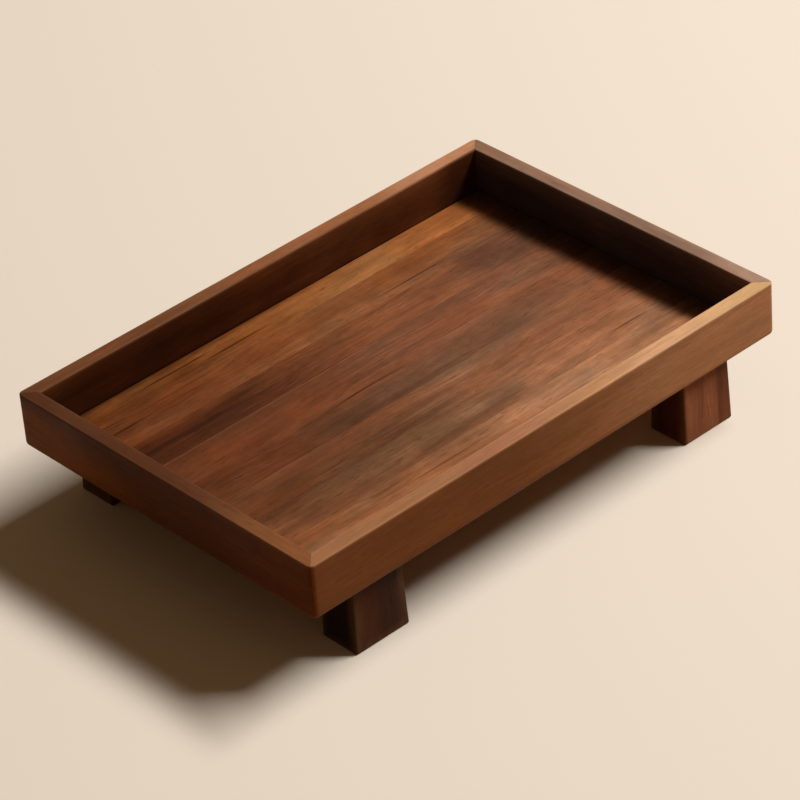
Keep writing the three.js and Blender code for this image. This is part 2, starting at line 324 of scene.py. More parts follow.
def build_tone_patch(name):
    """A soft oval of another tone, drawn out along the grain, with an uneven edge."""
    tree, given, result = new_group(
        name,
        [
            ("Color", "colour", None), ("Shade", "colour", None), ("Place", "vector", None),
            ("Middle", "vector", None), ("Reach", "vector", None), ("Amount", "value", 1.0),
            ("Ragged", "value", 1.0),
        ],
        [("Color", "colour")],
    )
    apart = combine(tree, "SUBTRACT", given["Place"], given["Middle"])
    share = combine(tree, "DIVIDE", apart, given["Reach"])
    ends = drawn_noise(tree, given["Place"], 0.06, 0.004, detail=3.0, roughness=0.6)
    sides = drawn_noise(tree, given["Place"], 0.04, 0.009)
    uneven = add(tree, "ShaderNodeCombineXYZ", {"X": ends, "Y": sides, "Z": 0.5}).outputs[0]
    uneven = combine(tree, "SUBTRACT", uneven, (0.5, 0.5, 0.5))
    uneven = brighten(tree, combine(tree, "MULTIPLY", uneven, (1.6, 1.4, 0.0)), given["Ragged"])
    ragged = combine(tree, "ADD", share, uneven)
    away = add(tree, "ShaderNodeVectorMath", {0: ragged}, operation="LENGTH").outputs["Value"]
    mask = calculate(tree, "MULTIPLY", step(tree, away, 1.0, 0.4), given["Amount"])
    feed(tree, result["Color"], mix(tree, mask, given["Color"], given["Shade"], blend="MULTIPLY"))
    return tree


def build_wear_and_shade(name):
    """Arrises and rim rubbed pale and smooth by hands, partly painted light, and painted shade on the inner
    faces, where the mesh marks them.
    """
    tree, given, result = new_group(
        name,
        [
            ("Color", "colour", None), ("Roughness", "value", 0.4), ("Place", "vector", None),
            ("Worn and lit", "colour", None), ("Wear", "value", 0.5),
            ("Shade tone", "colour", None), ("Inner shade", "value", 0.0),
        ],
        [("Color", "colour"), ("Roughness", "value")],
    )
    # Pale wear on the arrises and the rim's top, partly a painted highlight and painted light
    arris = add(tree, "ShaderNodeAttribute", attribute_name="arris").outputs["Fac"]
    rubbed = step(tree, drawn_noise(tree, given["Place"], 0.03, 0.004, detail=3.0), 0.3, 0.65, 0.45, 1.0)
    worn_and_lit = calculate(tree, "MULTIPLY", calculate(tree, "MULTIPLY", arris, rubbed), given["Wear"])
    tone = mix(tree, worn_and_lit, given["Color"], given["Worn and lit"])
    # Painted shade on the inner faces, made uneven by noise
    inside = add(tree, "ShaderNodeAttribute", attribute_name="inside").outputs["Fac"]
    shade_breakup = step(tree, drawn_noise(tree, given["Place"], 0.02, 0.01, detail=3.0), 0.25, 0.7, 0.75, 1.0)
    inner_shade = calculate(tree, "MULTIPLY", calculate(tree, "MULTIPLY", inside, shade_breakup), given["Inner shade"])
    feed(tree, result["Color"], mix(tree, inner_shade, tone, given["Shade tone"], blend="MULTIPLY"))
    smoothed = calculate(tree, "MULTIPLY_ADD", worn_and_lit, -0.1, given["Roughness"])
    feed(tree, result["Roughness"], calculate(tree, "MULTIPLY_ADD", inner_shade, 0.1, smoothed))
    return tree


# Which way the grain runs, as the turn that lays it along X
GRAIN_TURNS = {
    "x": (0.0, 0.0, 0.0),
    "y": (0.0, 0.0, -math.pi / 2),
    "z": (0.0, math.pi / 2, 0.0),
}


def opaque(tone):
    """A tone as a colour socket takes it."""
    return (*tone, 1.0)


# A reach in mm that is past the tray's ends
EVERYWHERE = 1000

# A patch multiplies the wood by its shade. Its middle and half sizes are along and across the grain, in mm,
# and then through the board. Ragged is how uneven its edge is.
Patch = namedtuple(
    "Patch", "shade along across reach width amount ragged deep depth", defaults=(1.0, 1.0, 0, EVERYWHERE),
)

# How much lighter and darker than its middle tone a wood goes, and what the painted shade on inner faces
# leaves of it
LIGHTER = Vector((1.36, 1.42, 1.48))
DARKER = Vector((0.52, 0.46, 0.42))
PAINTED_SHADE = (0.36, 0.30, 0.26)

# Height of the grain that can be felt
RELIEF = 0.05 * MM


def tinted(tone, shade):
    """A tone times a shade, colour by colour."""
    return Vector(part * factor for part, factor in zip(tone, shade))


# How strongly the oiled wood mirrors, and how strongly its relief shows
SHINE = 0.07
RELIEF_STRENGTH = 0.6

# How far apart in the noise two boards with neighbouring seeds lie, in metres
BOARD_SHIFT = (0.37, 0.11, 0.23)


def wood(name, grain, seed, middle, pith, patches=(), contrast=1.0, wear=0.0, inner_shade=0.0, **figure):
    """A procedural wood. The pith is a place in the tray's own axes that the growth rings run round."""
    even = Vector((1.0, 1.0, 1.0))
    light = tinted(middle, even.lerp(LIGHTER, contrast))
    dark = tinted(middle, even.lerp(DARKER, contrast))
    material = empty_material(name)
    tree = material.node_tree
    lie = add(tree, "ShaderNodeTexCoord").outputs["Object"]
    place = add(tree, "ShaderNodeMapping", {"Vector": lie, "Rotation": GRAIN_TURNS[grain]}).outputs[0]
    laid_pith = Vector(pith)
    laid_pith.rotate(Euler(GRAIN_TURNS[grain]))

    given = {
        "Place": place, "Board": [shift * seed for shift in BOARD_SHIFT], "Pith": laid_pith,
        "Light": opaque(light), "Middle": opaque(middle), "Dark": opaque(dark),
    }
    made = add_group(tree, "Wood figure", build_wood_figure, given | figure)
    tone = made.outputs["Color"]
    gloss = made.outputs["Roughness"]

    for patch in patches:
        given = {
            "Color": tone, "Shade": opaque(patch.shade), "Place": place,
            "Amount": patch.amount, "Ragged": patch.ragged,
            "Middle": Vector((patch.along, patch.across, patch.deep)) * MM,
            "Reach": Vector((patch.reach, patch.width, patch.depth)) * MM,
        }
        tone = add_group(tree, "Tone patch", build_tone_patch, given).outputs["Color"]

    # Pale wear on the arrises and rim, and painted shade on the inner faces
    if wear or inner_shade:
        given = {
            "Color": tone, "Roughness": gloss, "Place": place, "Wear": wear, "Inner shade": inner_shade,
            "Worn and lit": opaque(bpy.context.scene.tray_woods.worn_and_lit), "Shade tone": opaque(PAINTED_SHADE),
        }
        handled = add_group(tree, "Wear and painted shade", build_wear_and_shade, given)
        tone = handled.outputs["Color"]
        gloss = handled.outputs["Roughness"]

    felt = {"Strength": RELIEF_STRENGTH, "Distance": RELIEF, "Height": made.outputs["Height"]}
    relief = add(tree, "ShaderNodeBump", felt).outputs["Normal"]
    finish = {"Base Color": tone, "Roughness": gloss, "Normal": relief, "Specular IOR Level": SHINE}
    shader = add(tree, "ShaderNodeBsdfPrincipled", finish)
    add(tree, "ShaderNodeOutputMaterial", {"Surface": shader.outputs["BSDF"]})
    return material


# Meshes

# Points this near are one point, a plane cuts this exactly, and points this close in height are level
WELD = 0.001 * MM
CUT_TOLERANCE = 0.0001 * MM
LEVEL_TOLERANCE = 0.01 * MM

# Faces that meet at less than the first angle are one flat face. At more than the second, the edge is crisp.
FLAT_ANGLE = math.radians(0.5)
CREASE_ANGLE = math.radians(32)


def finished_mesh(name, made):
    """A mesh from mesh code, which is freed."""
    mesh = bpy.data.meshes.new(name)
    made.to_mesh(mesh)
    made.free()
    return mesh


def add_object(name, data):
    """A new object in the scene's own collection."""
    made = bpy.data.objects.new(name, data)
    bpy.context.scene.collection.objects.link(made)
    return made


def new_piece(name, made, material, node):
    """A finished object from mesh code, in place of one node of the frame."""
    piece = add_object(name, finished_mesh(name, made))
    piece.data.materials.append(material)
    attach(piece, BODY)
    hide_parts(node)
    return piece


def soften_shading(piece):
    """Smooth shading that stays crisp along the sharp edges."""
    for face in piece.data.polygons:
        face.use_smooth = True
    piece.data.set_sharp_from_angle(angle=CREASE_ANGLE)


def cut_joinery(piece, nodes, play):
    """Cuts the room for tongues or dowels out of a piece, a little larger than they are."""
    for node in nodes:
        grown = bmesh.new()
        grown.from_mesh(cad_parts[node].data)
        bmesh.ops.remove_doubles(grown, verts=grown.verts, dist=WELD)
        grown.normal_update()
        low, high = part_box(node)
        middle = (low + high) / 2
        for vert in grown.verts:
            apart = vert.co - middle
            vert.co += Vector([math.copysign(play, value) if abs(value) > play else 0.0 for value in apart])
        mesh = finished_mesh("cutter", grown)
        cutter = add_object("cutter", mesh)
        cut = piece.modifiers.new("cut", "BOOLEAN")
        cut.operation = "DIFFERENCE"
        cut.solver = "EXACT"
        cut.object = cutter
        bpy.context.view_layer.update()
        graph = bpy.context.evaluated_depsgraph_get()
        carved = bpy.data.meshes.new_from_object(
            piece.evaluated_get(graph), preserve_all_data_layers=True, depsgraph=graph,
        )
        piece.modifiers.clear()
        piece.data = carved
        carved.name = piece.name
        bpy.data.objects.remove(cutter)
        bpy.data.meshes.remove(mesh)


def arc(steps):
    """Angles of a quarter turn."""
    return [math.pi / 2 * index / steps for index in range(steps + 1)]


def spread(start, end, count):
    """Count places strictly between two others, evenly spaced."""
    return [start + (end - start) * (index + 1) / (count + 1) for index in range(count)]


# How finely a rail is divided: round its edges, up its two faces, round a corner and along its length
LOWER_STEPS = 8
RIM_STEPS = 5
OUTER_ROWS = 6
INNER_ROWS = 5
CORNER_STEPS = 6
RUN_STEPS = 56

# A rail goes round the corner by this angle, past the mitre, and is cut back to it.
PAST_MITRE = math.radians(54)

# Flat strip on both sides of a softened arris
RIM_GUARD = 1.2 * MM

# How worn a rail's edges are: the lower one at most, the two arrises of the rim, and the rim between them
# Wear on the rim's arrises is partly a painted highlight, and on the rim's top partly painted light
LOWER_WEAR = 0.6
ARRIS_WEAR_AND_HIGHLIGHT = 1.0
RIM_WEAR_AND_LIGHT = 0.6


def rail_profile(thickness, height, sizes):
    """The rail's section as (inset from the outer face, height, wear), round from the lower outer edge."""
    low, rim, lip = sizes.lower_round, sizes.rim_round, sizes.lip_thickness
    shoulder = height - rim - RIM_GUARD
    inner_foot = thickness - sizes.rebate_width
    points = []
    for turn in arc(LOWER_STEPS):
        wear = LOWER_WEAR * math.sin(2 * turn)
        points.append((low * (1 - math.sin(turn)), low * (1 - math.cos(turn)), wear))
    points += [(0.0, z, 0.0) for z in spread(low, shoulder, OUTER_ROWS) + [shoulder]]
    for turn in arc(RIM_STEPS):
        points.append((rim * (1 - math.cos(turn)), height - rim * (1 - math.sin(turn)), ARRIS_WEAR_AND_HIGHLIGHT))
    for inset in (rim + RIM_GUARD, thickness / 2, thickness - rim - RIM_GUARD):
        points.append((inset, height, RIM_WEAR_AND_LIGHT))
    for turn in arc(RIM_STEPS):
        inset = thickness - rim * (1 - math.sin(turn))
        points.append((inset, height - rim * (1 - math.cos(turn)), ARRIS_WEAR_AND_HIGHLIGHT))
    points += [(thickness, z, 0.0) for z in [shoulder] + spread(shoulder, lip, INNER_ROWS) + [lip]]
    return points + [(inner_foot, lip, 0.0), (inner_foot, 0.0, 0.0)]


def rail_path(half_run, half_across, inset, sizes):
    """The plan line of one profile point, from the left mitre to the right one, as (x, y)."""
    radius = max(sizes.corner_round - inset, sizes.least_round)
    end = half_run - inset - radius
    side = half_across - inset - radius
    turns = [PAST_MITRE * index / CORNER_STEPS for index in range(1, CORNER_STEPS + 1)]
    right = [(end + radius * math.sin(turn), -side - radius * math.cos(turn)) for turn in turns]
    straight = [(-end + 2 * end * index / RUN_STEPS, -side - radius) for index in range(RUN_STEPS + 1)]
    left = [(-x, y) for x, y in reversed(right)]
    return left + straight + right


# How many waves of hand sanding there are to a metre
SANDING_WAVES = 45


def sanded(place, wear, sizes, seed):
    """How far sanding has taken an arris down at this place."""
    x, y, z = (part * SANDING_WAVES for part in place)
    wave = noise.noise(Vector((x, y, z + seed)))
    return sizes.sanding * wear * (0.5 + 0.5 * wave)


# How far below the rim the inner face reaches its full painted shade
INNER_SHADE_DEPTH = 9.0 * MM


def rail_mesh(half_run, half_across, bottom, thickness, height, sizes, seed):
    """A rail on the front side of a tray of these half sizes, mitred at both ends."""
    made = bmesh.new()
    wear_layer = made.verts.layers.float.new("arris")
    inside_layer = made.verts.layers.float.new("inside")
    rows = []
    for inset, z, wear in rail_profile(thickness, height, sizes):
        row = []
        for x, y in rail_path(half_run, half_across, inset, sizes):
            place = Vector((x, y, bottom + z))
            inward = Vector((0.0, thickness / 2 - inset, height / 2 - z)).normalized()
            vert = made.verts.new(place + inward * sanded(place, wear, sizes, seed))
            vert[wear_layer] = wear
            # Painted shade on the inner face, growing from nothing at the rim
            if inset == thickness:
                vert[inside_layer] = min(1.0, (height - z) / INNER_SHADE_DEPTH)
            row.append(vert)
        rows.append(row)
    for index, row in enumerate(rows):
        following = rows[(index + 1) % len(rows)]
        for station in range(len(row) - 1):
            made.faces.new((row[station], row[station + 1], following[station + 1], following[station]))
    set_back = sizes.glue_line / math.sqrt(2)
    for side in (-1, 1):
        made.normal_update()
        plane_place = Vector((side * (half_run - set_back), -half_across, 0.0))
        plane_normal = Vector((side, 1.0, 0.0)).normalized()
        every = made.verts[:] + made.edges[:] + made.faces[:]
        cut = bmesh.ops.bisect_plane(
            made, geom=every, dist=CUT_TOLERANCE, plane_co=plane_place, plane_no=plane_normal,
            clear_outer=True,
        )
        outline = [item for item in cut["geom_cut"] if isinstance(item, bmesh.types.BMEdge)]
        bmesh.ops.contextual_create(made, geom=outline)
    bmesh.ops.recalc_face_normals(made, faces=made.faces)
    return made


class TRAY_OT_make_rails(bpy.types.Operator):
    """Makes the four mitred rails, with softened rims and slots for the tongues"""

    bl_idname = "tray.make_rails"
    bl_label = "Rails"

    def execute(self, context):
        sizes = context.scene.tray_sizes
        woods = context.scene.tray_woods
        half_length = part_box("rail_right")[1].x
        half_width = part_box("rail_back")[1].y
        rail_low, rail_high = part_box("rail_front")
        thickness = rail_high.y - rail_low.y
        height = rail_high.z - rail_low.z
        finishes = rail_woods(woods)
        for name, turn in RAIL_TURNS.items():
            run, across = (half_length, half_width) if turn % 2 == 0 else (half_width, half_length)
            made = rail_mesh(run, across, rail_low.z, thickness, height, sizes, turn)
            bmesh.ops.rotate(made, verts=made.verts, matrix=Matrix.Rotation(turn * math.pi / 2, 3, "Z"))
            piece = new_piece("tray_" + name, made, finishes[name], name)
            tongues = ["corner_tongue_" + corner for corner in RAIL_CORNERS[name]]
            cut_joinery(piece, tongues, sizes.joint_play)
            soften_shading(piece)
        return {"FINISHED"}


# Shades of the rails' patches
BROWN = (0.39, 0.285, 0.165)
UMBER = (0.38, 0.30, 0.22)
AMBER = (1.5, 1.6, 1.7)
HONEY = (1.24, 1.58, 1.6)
BLUSH = (1.20, 1.13, 1.8)
FLUSHED = (1.20, 1.10, 1.3)
ROSY = (1.5, 1.75, 2.0)
ASHEN = (1.2, 1.42, 1.85)
# Painted shade on the back rail's inner face
PAINTED_BACK_SHADE = (0.55, 0.46, 0.36)
# Painted light on the back end of the left rail's outer face, where more light bounces onto it
OLIVE = (2.35, 2.7, 1.3)
# Painted shade on the right rail's inner face
PAINTED_INNER_SHADE = (0.54, 0.78, 1.2)
# Painted shadow of the right rail on the back rail's inner face, near the corner
PAINTED_CORNER_SHADOW = (0.35, 0.32, 0.30)
RUSSET = (1.08, 0.84, 0.56)
# Painted sheen on the right rail's rim
PAINTED_SHEEN = (1.07, 1.25, 1.5)

# How far a tone on the rim goes down in mm, and how ragged its edge is
RIM_SKIN = 1.5
RIM_RAGGED = 0.1

# How far below the rim the middle of a tone on an outer face is, in mm
FACE_DROP = 21

# The front rail's figure is calm, and the others' is livelier.
CALM_FIGURE = {
    "contrast": 0.28, "Wander": 0.006, "Ring": 0.0034, "Rings": 0.16, "Streaks": 0.12, "Mottle": 0.3,
    "Pores": 0.35, "Flecks": 0.15, "Gloss": 0.46,
}
LIVELY_FIGURE = CALM_FIGURE | {
    "contrast": 0.45, "Mottle": 0.6, "Rings": 0.3, "Streaks": 0.3, "Pores": 0.45,
}


def rail_woods(woods):
    """One wood for each rail. The tone drifts along them, lightest at the right end of the front rail."""
    light, deep = Vector(woods.rail), Vector(woods.rail_deep)
    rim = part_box("rail_front")[1].z / MM
    inner_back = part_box("rail_back")[0].y / MM

    # Across the grain of the short rails is towards -X.
    outer_left = -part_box("rail_left")[0].x / MM
    inner_right, outer_right = (-corner.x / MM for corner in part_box("rail_right"))

    def on_rim(shade, along, reach, amount=1.0):
        return Patch(shade, along, 0, reach, EVERYWHERE, amount, RIM_RAGGED, rim, RIM_SKIN)

    return {
        "rail_front": wood(
            "Front rail wood", "x", 1, tinted(light, (0.95, 1.03, 1.04)), (0.0, -0.05, -0.02),
            [Patch(BROWN, -150, 0, 290, EVERYWHERE, ragged=0.15),
             on_rim(HONEY, 20, 420), on_rim(BLUSH, -95, 130), on_rim(FLUSHED, 30, 110)],
            wear=0.15, inner_shade=0.6, **CALM_FIGURE,
        ),
        "rail_back": wood(
            "Back rail wood", "x", 2, deep, (0.0, 0.15, 0.0),
            [Patch(UMBER, -190, 0, 260, EVERYWHERE, ragged=0.2),
             Patch(AMBER, 165, 0, 100, EVERYWHERE, ragged=0.2),
             # Painted shade on the inner face, and the right rail's painted shadow near its right end
             Patch(PAINTED_BACK_SHADE, 60, inner_back, 220, 1.2, ragged=0.2),
             Patch(PAINTED_CORNER_SHADOW, 148, inner_back, 48, 1.5, ragged=0.1),
             on_rim(ASHEN, 125, 60)],
            wear=0.1, inner_shade=0.9, **LIVELY_FIGURE,
        ),
        # The left rail's wood is tinted far darker as painted shade for its shaded outer face; ROSY and the
        # rim's wear lift its rim again
        "rail_left": wood(
            "Left rail wood", "y", 3, tinted(deep, (0.36, 0.28, 0.20)), (-0.2, 0.0, 0.0),
            [Patch(AMBER, -120, 0, 110, EVERYWHERE, ragged=0.2),
             # Painted light on the back end of the outer face
             Patch(OLIVE, 100, outer_left, 95, 2.0, 1.0, 0.2, rim - FACE_DROP, 22),
             on_rim(ROSY, -82, 78, 0.9), on_rim(UMBER, 60, 190, 0.52)],
            wear=0.04, inner_shade=0.6, **LIVELY_FIGURE,
        ),
        # The right rail's wood is tinted grey and its rim greyed further, a painted sheen; RUSSET takes its
        # outer face back to brown
        "rail_right": wood(
            "Right rail wood", "y", 4, tinted(deep, (0.82, 1.12, 1.75)), (0.1, 0.0, -0.02),
            [Patch(AMBER, -120, 0, 70, EVERYWHERE, ragged=0.2),
             # Painted shade on the inner face
             Patch(PAINTED_INNER_SHADE, 20, inner_right, 160, 1.2, ragged=0.2),
             on_rim(PAINTED_SHEEN, -20, 120),
             Patch(RUSSET, 0, outer_right, EVERYWHERE, 2.5, 1.0, 0.1, rim - FACE_DROP, 24)],
            wear=0.2, inner_shade=1.0, **LIVELY_FIGURE,
        ),
    }


def stave_mesh(node, sizes):
    """A stave from its solid: flat faces made whole, and the top's long edges softened."""
    made = bmesh.new()
    made.from_mesh(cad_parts[node].data)
    bmesh.ops.remove_doubles(made, verts=made.verts, dist=WELD)
    bmesh.ops.dissolve_limit(made, angle_limit=FLAT_ANGLE, verts=made.verts, edges=made.edges)
    top = max(vert.co.z for vert in made.verts)
    on_top = [edge for edge in made.edges if all(top - vert.co.z < LEVEL_TOLERANCE for vert in edge.verts)]
    bmesh.ops.bevel(
        made, geom=on_top, offset=sizes.stave_arris, offset_type="OFFSET", segments=2, profile=0.5,
        affect="EDGES",
    )
    bmesh.ops.recalc_face_normals(made, faces=made.faces)
    return made


# Shades of the floor's patches
HEART = (0.48, 0.42, 0.36)
GREY = (0.76, 0.83, 0.86)
SMOKE = (0.66, 0.70, 0.72)
EMBER = (0.84, 0.72, 0.60)
# Lighter and greyer wood, partly a painted sheen
SUNNY = (1.27, 1.46, 1.76)
TAN = (1.29, 1.40, 1.48)
INK = (0.42, 0.36, 0.34)
ASH = (0.56, 0.67, 0.86)
GLINT = (1.35, 1.45, 1.7)
GOLD = (1.22, 1.24, 1.06)
# Painted shadow of the right rail, and painted shade along the back rail
PAINTED_FLOOR_SHADOW = (0.28, 0.26, 0.25)

# Tones that run across the floor's staves, the longest of the streaks, and painted shadow and shade in the
# corners
FLOOR_PATCHES = (
    # Darker at the left and lighter and greyer at the right: partly the wood's own drift, partly a painted
    # sheen
    Patch(EMBER, -165, 20, 150, 130, ragged=0.5),
    Patch(SUNNY, 80, 0, 120, 140, 0.9, ragged=0.5),
    Patch(GOLD, 50, 98, 190, 58, 0.9, ragged=0.5),
    Patch(GREY, 20, -5, 130, 16, ragged=0.7),
    Patch(SMOKE, -68, -36, 100, 24, ragged=0.6),
    Patch(GREY, 5, -45, 48, 13, 0.9, ragged=0.6),
    Patch(GREY, -68, 86, 50, 10, 0.9, ragged=0.6),
    Patch(GREY, 114, 22, 40, 13, 0.9, ragged=0.6),
    Patch(ASH, 114, 50, 48, 22, 0.9, ragged=0.6),
    Patch(TAN, 72, -54, 60, 17, 0.5, ragged=0.6),
    Patch(TAN, -20, -78, 190, 26, 0.9, ragged=0.6),
    Patch(SUNNY, 20, 90, 100, 14, 0.4, ragged=0.6),
    Patch(GLINT, -75, 32.4, 85, 0.8),
    Patch(INK, -70, 87.5, 34, 0.9),
    Patch(INK, -32, 83, 28, 0.9),
    Patch(INK, -122, 68.5, 26, 1.1, 0.8),
    Patch(INK, 66, 60, 34, 0.7),
    Patch(INK, -20, 7.5, 30, 0.8),
    Patch(INK, 104, -48, 20, 0.7),
    Patch(INK, -30, -64, 45, 0.7, 0.7),
    # Painted shadow of the right rail on the floor's right end, and painted shade along the back rail
    Patch(PAINTED_FLOOR_SHADOW, 148, 0, 25, EVERYWHERE, ragged=0.2),
    Patch(PAINTED_FLOOR_SHADOW, -60, 99, 200, 11, 0.85, ragged=0.2),
)

# A dark heart that ends at the stave's joints
STAVE_PATCHES = {
    "floor_stave_7": (
        Patch(HEART, -118, 41.5, 140, 17, ragged=0.7),
        Patch(INK, -100, 44.5, 48, 2.2, 0.7),
        Patch(GLINT, -105, 41.2, 38, 0.7, 0.8),
    ),
}

STAVE_SEED = 11
STAVE_FIGURE = {
    "contrast": 0.6, "Wander": 0.017, "Ring": 0.0042, "Rings": 0.2, "Streaks": 0.6, "Pores": 0.6,
    "Flecks": 0.3, "Gloss": 0.5,
}

# A stave's pith is this far to one side, or to the other in every second stave, and this far down, in mm.
STAVE_PITH_SIDE = 30.0
STAVE_PITH_DROP = 55.0


def stave_woods(woods):
    """One wood for each stave, from the front to the back."""
    pale, warm, golden = Vector(woods.pale), Vector(woods.warm), Vector(woods.golden)
    middles = (
        pale, pale.lerp(warm, 0.08), pale.lerp(warm, 0.38), pale.lerp(warm, 0.7), pale.lerp(warm, 0.92),
        warm, warm.lerp(golden, 0.1), warm.lerp(golden, 0.2), warm.lerp(golden, 0.5),
    )
    finishes = []
    for index, (name, middle) in enumerate(zip(STAVE_NAMES, middles)):
        low, high = (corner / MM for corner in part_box(name))
        patches = [patch for patch in FLOOR_PATCHES if low.y < patch.across + patch.width and
                   high.y > patch.across - patch.width]
        patches += STAVE_PATCHES.get(name, ())
        aside = Vector((0.0, STAVE_PITH_SIDE * (-1) ** index, -STAVE_PITH_DROP))
        pith = ((low + high) / 2 + aside) * MM
        title = "Stave wood %d" % (index + 1)
        finishes.append(wood(title, "x", index + STAVE_SEED, middle, pith, patches, **STAVE_FIGURE))
    return finishes


class TRAY_OT_make_floor(bpy.types.Operator):
    """Makes the floor's staves, each of its own board"""

    bl_idname = "tray.make_floor"
    bl_label = "Floor"

    def execute(self, context):
        finishes = stave_woods(context.scene.tray_woods)
        if len(finishes) < len(STAVE_NAMES):
            raise RuntimeError("there are more staves than boards for them")
        for name, finish in zip(STAVE_NAMES, finishes):
            made = stave_mesh(name, context.scene.tray_sizes)
            piece = new_piece("tray_" + name, made, finish, name)
            soften_shading(piece)
        return {"FINISHED"}


# How finely a foot is divided: round its sole's edge, up its height, round an upright edge and along a side
SOLE_STEPS = 4
FOOT_ROWS = 8
EDGE_STEPS = 6
SIDE_POINTS = 4

# How worn a foot's sole and upright edges are
SOLE_WEAR = 0.7
EDGE_WEAR = 0.8


def rounded_rectangle(half_x, half_y, radius):
    """Points round a rectangle, as (x, y, 1 on its corners and 0 along its sides), counter-clockwise."""
    corners = []
    for quarter, (side_x, side_y) in enumerate(((1, 1), (-1, 1), (-1, -1), (1, -1))):
        middle_x, middle_y = side_x * (half_x - radius), side_y * (half_y - radius)
        turns = [turn + quarter * math.pi / 2 for turn in arc(EDGE_STEPS)]
        corners.append([
            (middle_x + radius * math.cos(turn), middle_y + radius * math.sin(turn)) for turn in turns
        ])
    points = []
    for corner, following in zip(corners, corners[1:] + corners[:1]):
        points += [(x, y, 1.0) for x, y in corner]
        side = [spread(start, end, SIDE_POINTS) for start, end in zip(corner[-1], following[0])]
        points += [(x, y, 0.0) for x, y in zip(*side)]
    return points


def foot_mesh(centre, half_x, half_y, height, sizes, seed):
    """A tapered block that stands on z = 0, with rounded upright edges and a rounded sole."""
    made = bmesh.new()
    wear_layer = made.verts.layers.float.new("arris")
    sole = sizes.sole_round
    levels = []
    for turn in arc(SOLE_STEPS):
        levels.append((sole * (1 - math.sin(turn)), sole * (1 - math.cos(turn)), SOLE_WEAR))
    levels += [(0.0, z, 0.0) for z in spread(sole, height, FOOT_ROWS) + [height]]
    rings = []
    for inset, z, low_wear in levels:
        lean = inset + sizes.foot_flare * z / height
        ring = []
        for x, y, corner in rounded_rectangle(half_x - lean, half_y - lean, sizes.foot_round):
            place = Vector((centre.x + x, centre.y + y, z))
            wear = max(low_wear, EDGE_WEAR * corner)
            inward = Vector((-x, -y, 0.0)).normalized()
            vert = made.verts.new(place + inward * sanded(place, wear, sizes, seed))
            vert[wear_layer] = wear
            ring.append(vert)
        rings.append(ring)
    for lower, upper in zip(rings, rings[1:]):
        for index in range(len(lower)):
            following = (index + 1) % len(lower)
            made.faces.new((lower[index], lower[following], upper[following], upper[index]))
    made.faces.new(reversed(rings[0]))
    made.faces.new(rings[-1])
    return made


# Each foot is cut from another board, so much lighter or darker than the foot's own tone.
# The front left foot is also darkened as painted shade, and the front right one lightened as painted light
FOOT_TONES_AND_LIGHT = {"front_left": 0.39, "front_right": 2.9, "back_right": 1.0, "back_left": 0.6}
FOOT_SEED = 31
FOOT_FIGURE = {
    "contrast": 0.7, "wear": 0.15, "Wander": 0.005, "Ring": 0.0048, "Rings": 0.5, "Streaks": 0.5,
    "Pores": 0.4, "Flecks": 0.15, "Mottle": 0.7, "Gloss": 0.5,
}

# Where the pith lies from the middle of a foot, in metres
FOOT_PITH = Vector((-0.03, 0.035, 0.0))

# Shades of the feet's patches
# Dark of the knot, and painted shade on the feet's shaded sides
DARK_KNOT_AND_SHADE = (0.28, 0.24, 0.22)
RUDDY = (1.7, 1.45, 1.35)
DUSK = (0.40, 0.34, 0.32)

# Bands on the feet, along the upright grain, painted shade on the shaded sides of three of them, and the knot
# on the front of one
FOOT_PATCHES = {
    "front_left": (
        Patch(DARK_KNOT_AND_SHADE, 18, 0, EVERYWHERE, EVERYWHERE, ragged=0.0, deep=124, depth=2.5),
        Patch(RUDDY, 18, 0, EVERYWHERE, EVERYWHERE, ragged=0.1, deep=114, depth=9),
        Patch(DARK_KNOT_AND_SHADE, 30, 0, 4, EVERYWHERE, deep=97, depth=1.7),
    ),
    "front_right": (
        Patch(DARK_KNOT_AND_SHADE, 18, 0, EVERYWHERE, EVERYWHERE, ragged=0.0, deep=-91, depth=2.5),
        Patch(DUSK, 18, 0, EVERYWHERE, EVERYWHERE, 0.8, ragged=0.0, deep=-119, depth=6),
    ),
    "back_left": (
        Patch(DARK_KNOT_AND_SHADE, 18, 74, EVERYWHERE, 2.5, ragged=0.0),
    ),
}


class TRAY_OT_make_feet(bpy.types.Operator):
    """Makes the four block feet, drilled for their dowels"""

    bl_idname = "tray.make_feet"
    bl_label = "Feet"

    def execute(self, context):
        sizes = context.scene.tray_sizes
        woods = context.scene.tray_woods
        for seed, corner in enumerate(CORNERS):
            node = "foot_" + corner
            low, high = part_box(node)
            half = (high - low) / 2
            middle = (low + high) / 2
            finish = wood(
                "Foot wood " + corner.replace("_", " "), "z", seed + FOOT_SEED,
                Vector(woods.foot) * FOOT_TONES_AND_LIGHT[corner], middle + FOOT_PITH, FOOT_PATCHES.get(corner, ()),
                **FOOT_FIGURE,
            )
            made = foot_mesh(middle, half.x, half.y, high.z - low.z, sizes, seed)
            piece = new_piece("tray_" + node, made, finish, node)
            dowels = ["dowel_%s_%s" % (corner, side) for side in ("outer", "inner")]
            cut_joinery(piece, dowels, sizes.joint_play)
            soften_shading(piece)
        return {"FINISHED"}


PEG_SEED = 51
PEG_FIGURE = {
    "Wander": 0.002, "Ring": 0.002, "Rings": 0.2, "Streaks": 0.1, "Pores": 0.4, "Flecks": 0.2, "Gloss": 0.62,
}


